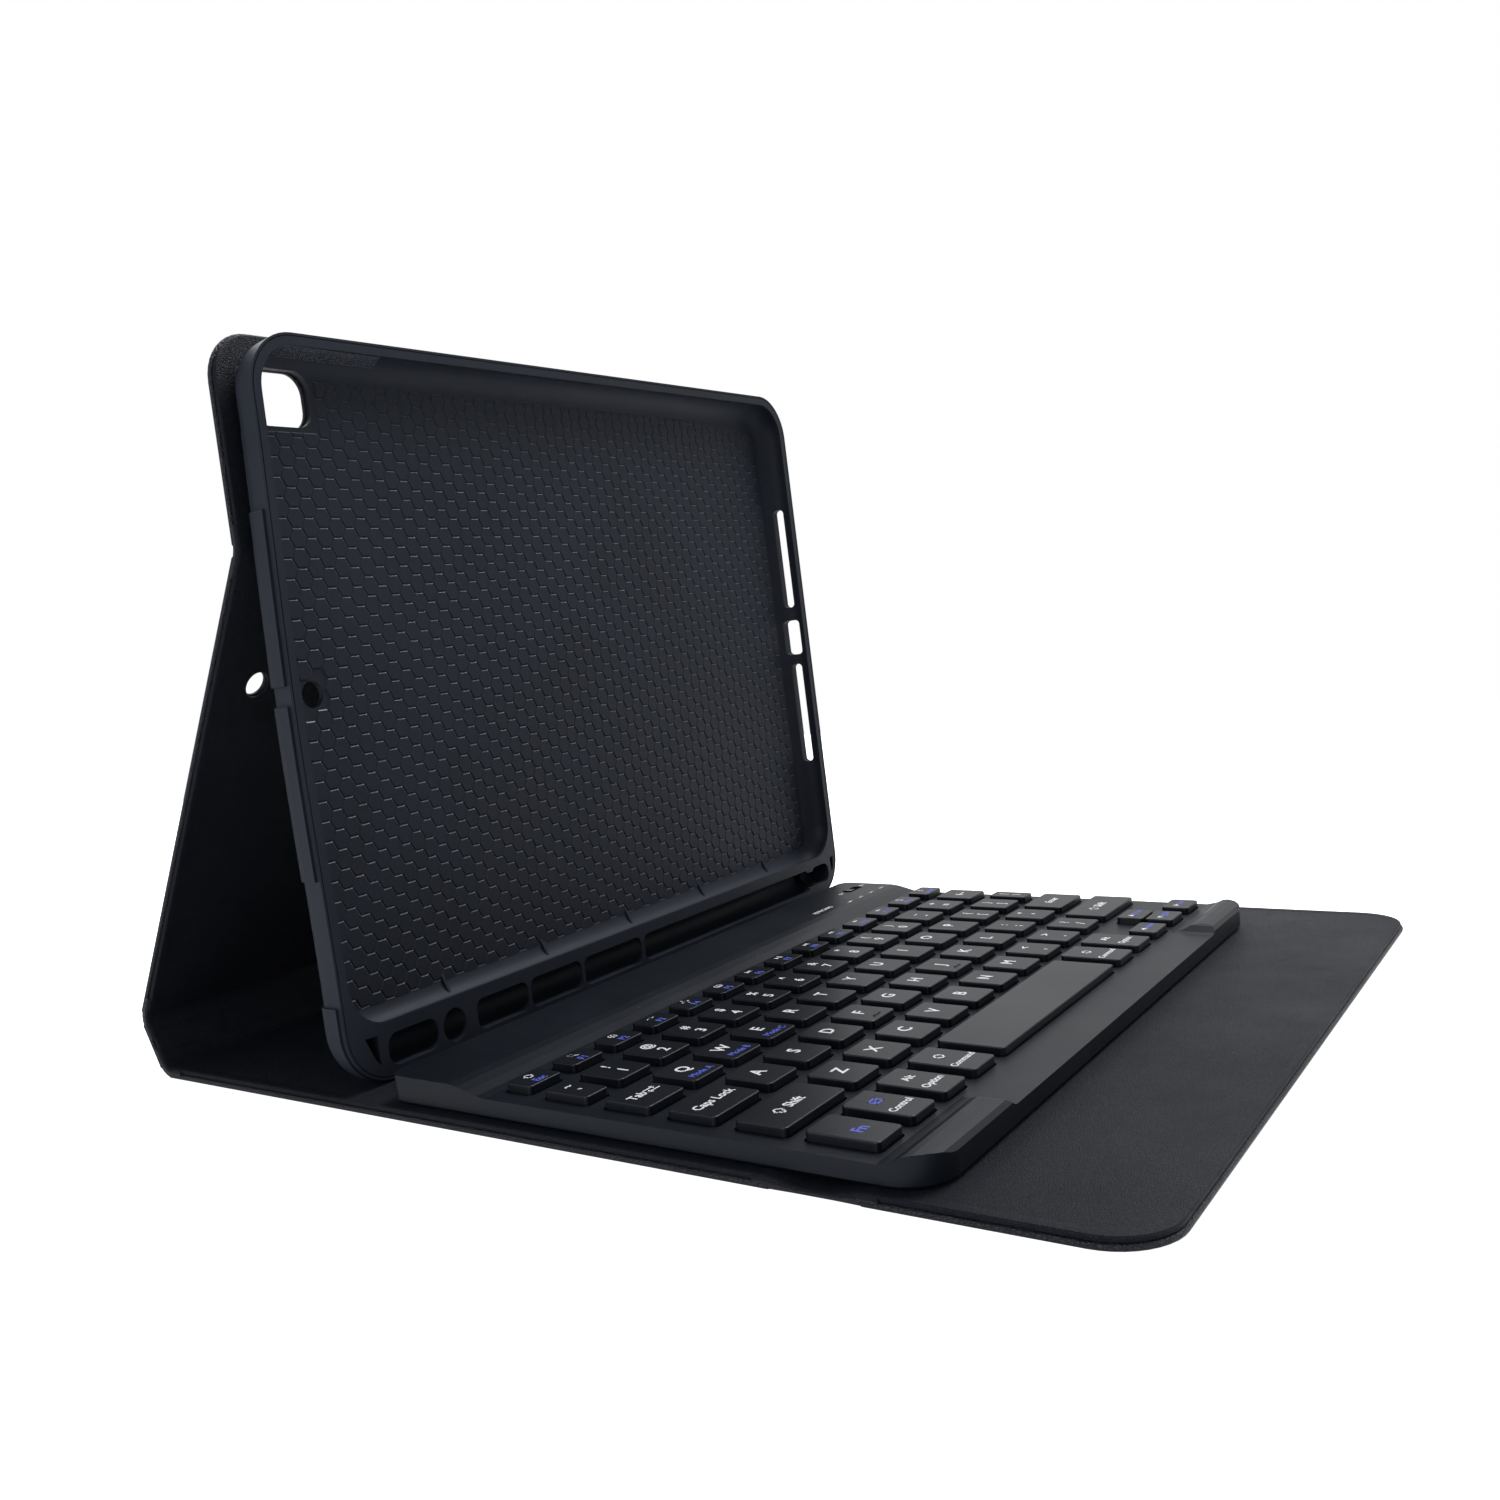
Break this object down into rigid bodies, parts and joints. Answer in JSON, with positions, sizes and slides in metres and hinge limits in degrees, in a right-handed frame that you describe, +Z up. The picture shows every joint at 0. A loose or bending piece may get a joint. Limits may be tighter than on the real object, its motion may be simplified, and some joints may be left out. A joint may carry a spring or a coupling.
{
  "type": "tablet keyboard case",
  "caption": "Folding tablet case with a soft tray and stylus channel, a leather-look cover that folds into a stand, and a slim keyboard that lifts off.",
  "frame": {"origin": "centre of the footprint of the open case, on the table", "axes": "+Y from the front edge to the back of the stand, +Z up, +X to the right of a typist"},
  "size_m": [0.26, 0.2818, 0.1949],
  "materials": {
    "cover_leather": "fine grain, satin",
    "cover_lining": "smooth, matt",
    "board": "pressed grey board",
    "circuit_board": "satin",
    "magnet": "nickel plated",
    "adhesive": "clear film",
    "tray_plastic": "matt, soft",
    "key_plastic": "matt",
    "case_plastic": "fine matt",
    "plate_metal": "brushed",
    "membrane_film": "printed film",
    "silicone": "soft",
    "battery_pouch": "satin pouch",
    "socket_metal": "bright",
    "light_guide": "smoked",
    "switch_plastic": "satin"
  },
  "bodies": {
    "base": {"front_skin": "cover_leather", "front_board": "board", "front_lining": "cover_lining", "front_magnets": "magnet", "front_crease": "cover_leather"},
    "wrap": {"wrap_web": "cover_leather"},
    "flap": {"flap_skin": "cover_leather", "flap_board": "board", "flap_lining": "cover_lining", "flap_magnets": "magnet"},
    "spine": {"spine_skin": "cover_leather", "spine_board": "board", "spine_lining": "cover_lining", "spine_crease": "cover_leather"},
    "lower_back": {"lower_back_skin": "cover_leather", "lower_back_board": "board", "lower_back_lining": "cover_lining", "back_crease": "cover_leather"},
    "upper_back": {"upper_back_skin": "cover_leather", "upper_back_board": "board", "upper_back_lining": "cover_lining", "back_magnets": "magnet", "adhesive_sheet": "adhesive", "tablet_tray": "tray_plastic"},
    "keyboard": {"kb_battery": "battery_pouch", "kb_bottom_case": "case_plastic", "kb_charge_socket": "socket_metal", "kb_circuit_board": "circuit_board", "kb_dome_sheet": "silicone", "kb_key_plate": "plate_metal", "kb_light_guides": "light_guide", "kb_magnets": "magnet", "kb_membrane": "membrane_film", "kb_top_case": "case_plastic"},
    "power_switch": {"kb_switch_slider": "switch_plastic"},
    "key_backslash_body": {"key_backslash": "key_plastic"},
    "key_backspace_body": {"key_backspace": "key_plastic"},
    "key_backtick_body": {"key_backtick": "key_plastic"},
    "key_caps_lock_body": {"key_caps_lock": "key_plastic"},
    "key_control_body": {"key_control": "key_plastic"},
    "key_down_arrow_body": {"key_down_arrow": "key_plastic"},
    "key_enter_body": {"key_enter": "key_plastic"},
    "key_fn_body": {"key_fn": "key_plastic"},
    "key_left_arrow_body": {"key_left_arrow": "key_plastic"},
    "key_left_command_body": {"key_left_command": "key_plastic"},
    "key_left_option_body": {"key_left_option": "key_plastic"},
    "key_left_shift_body": {"key_left_shift": "key_plastic"},
    "key_right_arrow_body": {"key_right_arrow": "key_plastic"},
    "key_right_command_body": {"key_right_command": "key_plastic"},
    "key_right_option_body": {"key_right_option": "key_plastic"},
    "key_right_shift_body": {"key_right_shift": "key_plastic"},
    "key_space_body": {"key_space": "key_plastic"},
    "key_tab_body": {"key_tab": "key_plastic"},
    "key_up_arrow_body": {"key_up_arrow": "key_plastic"},
    "keys_function_row_body": {"keys_function_row": "key_plastic"},
    "keys_home_row_body": {"keys_home_row": "key_plastic"},
    "keys_lower_row_body": {"keys_lower_row": "key_plastic"},
    "keys_number_row_body": {"keys_number_row": "key_plastic"},
    "keys_upper_row_body": {"keys_upper_row": "key_plastic"}
  },
  "joints": [
    {"name": "wrap_fold", "type": "hinge", "parent": "base", "child": "wrap", "pos_m": [0, -0.06287, 0.0013], "axis": [1, 0, 0], "range_deg": [0, 45]},
    {"name": "flap_fold", "type": "hinge", "parent": "wrap", "child": "flap", "pos_m": [0, -0.08287, 0.0013], "axis": [1, 0, 0], "range_deg": [0, 45]},
    {"name": "spine_fold", "type": "hinge", "parent": "base", "child": "spine", "pos_m": [0, 0.13213, 0.0013], "axis": [-1, 0, 0], "range_deg": [0, 63]},
    {"name": "lower_back_fold", "type": "hinge", "parent": "spine", "child": "lower_back", "pos_m": [0, 0.13962, 0.016], "axis": [-1, 0, 0], "range_deg": [0, 53.5]},
    {"name": "upper_back_fold", "type": "hinge", "parent": "lower_back", "child": "upper_back", "pos_m": [0, 0.07782, 0.13995], "axis": [-1, 0, 0], "range_deg": [-29.5, 0]},
    {"name": "keyboard_lift", "type": "slide", "parent": "base", "child": "keyboard", "axis": [0, 0, 1], "range_m": [0, 0.06]},
    {"name": "power_switch_slide", "type": "slide", "parent": "keyboard", "child": "power_switch", "axis": [1, 0, 0], "range_m": [0, 0.004]},
    {"name": "key_backslash_press", "type": "slide", "parent": "keyboard", "child": "key_backslash_body", "axis": [0, 0, -1], "range_m": [0, 0.0012], "stiffness_N_per_m": 300, "springref_m": -0.0006},
    {"name": "key_backspace_press", "type": "slide", "parent": "keyboard", "child": "key_backspace_body", "axis": [0, 0, -1], "range_m": [0, 0.0012], "stiffness_N_per_m": 300, "springref_m": -0.0006},
    {"name": "key_backtick_press", "type": "slide", "parent": "keyboard", "child": "key_backtick_body", "axis": [0, 0, -1], "range_m": [0, 0.0012], "stiffness_N_per_m": 300, "springref_m": -0.0006},
    {"name": "key_caps_lock_press", "type": "slide", "parent": "keyboard", "child": "key_caps_lock_body", "axis": [0, 0, -1], "range_m": [0, 0.0012], "stiffness_N_per_m": 300, "springref_m": -0.0006},
    {"name": "key_control_press", "type": "slide", "parent": "keyboard", "child": "key_control_body", "axis": [0, 0, -1], "range_m": [0, 0.0012], "stiffness_N_per_m": 300, "springref_m": -0.0006},
    {"name": "key_down_arrow_press", "type": "slide", "parent": "keyboard", "child": "key_down_arrow_body", "axis": [0, 0, -1], "range_m": [0, 0.0012], "stiffness_N_per_m": 300, "springref_m": -0.0006},
    {"name": "key_enter_press", "type": "slide", "parent": "keyboard", "child": "key_enter_body", "axis": [0, 0, -1], "range_m": [0, 0.0012], "stiffness_N_per_m": 300, "springref_m": -0.0006},
    {"name": "key_fn_press", "type": "slide", "parent": "keyboard", "child": "key_fn_body", "axis": [0, 0, -1], "range_m": [0, 0.0012], "stiffness_N_per_m": 300, "springref_m": -0.0006},
    {"name": "key_left_arrow_press", "type": "slide", "parent": "keyboard", "child": "key_left_arrow_body", "axis": [0, 0, -1], "range_m": [0, 0.0012], "stiffness_N_per_m": 300, "springref_m": -0.0006},
    {"name": "key_left_command_press", "type": "slide", "parent": "keyboard", "child": "key_left_command_body", "axis": [0, 0, -1], "range_m": [0, 0.0012], "stiffness_N_per_m": 300, "springref_m": -0.0006},
    {"name": "key_left_option_press", "type": "slide", "parent": "keyboard", "child": "key_left_option_body", "axis": [0, 0, -1], "range_m": [0, 0.0012], "stiffness_N_per_m": 300, "springref_m": -0.0006},
    {"name": "key_left_shift_press", "type": "slide", "parent": "keyboard", "child": "key_left_shift_body", "axis": [0, 0, -1], "range_m": [0, 0.0012], "stiffness_N_per_m": 300, "springref_m": -0.0006},
    {"name": "key_right_arrow_press", "type": "slide", "parent": "keyboard", "child": "key_right_arrow_body", "axis": [0, 0, -1], "range_m": [0, 0.0012], "stiffness_N_per_m": 300, "springref_m": -0.0006},
    {"name": "key_right_command_press", "type": "slide", "parent": "keyboard", "child": "key_right_command_body", "axis": [0, 0, -1], "range_m": [0, 0.0012], "stiffness_N_per_m": 300, "springref_m": -0.0006},
    {"name": "key_right_option_press", "type": "slide", "parent": "keyboard", "child": "key_right_option_body", "axis": [0, 0, -1], "range_m": [0, 0.0012], "stiffness_N_per_m": 300, "springref_m": -0.0006},
    {"name": "key_right_shift_press", "type": "slide", "parent": "keyboard", "child": "key_right_shift_body", "axis": [0, 0, -1], "range_m": [0, 0.0012], "stiffness_N_per_m": 300, "springref_m": -0.0006},
    {"name": "key_space_press", "type": "slide", "parent": "keyboard", "child": "key_space_body", "axis": [0, 0, -1], "range_m": [0, 0.0012], "stiffness_N_per_m": 300, "springref_m": -0.0006},
    {"name": "key_tab_press", "type": "slide", "parent": "keyboard", "child": "key_tab_body", "axis": [0, 0, -1], "range_m": [0, 0.0012], "stiffness_N_per_m": 300, "springref_m": -0.0006},
    {"name": "key_up_arrow_press", "type": "slide", "parent": "keyboard", "child": "key_up_arrow_body", "axis": [0, 0, -1], "range_m": [0, 0.0012], "stiffness_N_per_m": 300, "springref_m": -0.0006},
    {"name": "keys_function_row_press", "type": "slide", "parent": "keyboard", "child": "keys_function_row_body", "axis": [0, 0, -1], "range_m": [0, 0.0012], "stiffness_N_per_m": 300, "springref_m": -0.0006},
    {"name": "keys_home_row_press", "type": "slide", "parent": "keyboard", "child": "keys_home_row_body", "axis": [0, 0, -1], "range_m": [0, 0.0012], "stiffness_N_per_m": 300, "springref_m": -0.0006},
    {"name": "keys_lower_row_press", "type": "slide", "parent": "keyboard", "child": "keys_lower_row_body", "axis": [0, 0, -1], "range_m": [0, 0.0012], "stiffness_N_per_m": 300, "springref_m": -0.0006},
    {"name": "keys_number_row_press", "type": "slide", "parent": "keyboard", "child": "keys_number_row_body", "axis": [0, 0, -1], "range_m": [0, 0.0012], "stiffness_N_per_m": 300, "springref_m": -0.0006},
    {"name": "keys_upper_row_press", "type": "slide", "parent": "keyboard", "child": "keys_upper_row_body", "axis": [0, 0, -1], "range_m": [0, 0.0012], "stiffness_N_per_m": 300, "springref_m": -0.0006}
  ],
  "couplings": [
    {"joint": "flap_fold", "follows": "wrap_fold", "ratio": 1},
    {"joint": "lower_back_fold", "follows": "spine_fold", "ratio": 0.84921},
    {"joint": "upper_back_fold", "follows": "spine_fold", "ratio": -0.46825}
  ]
}
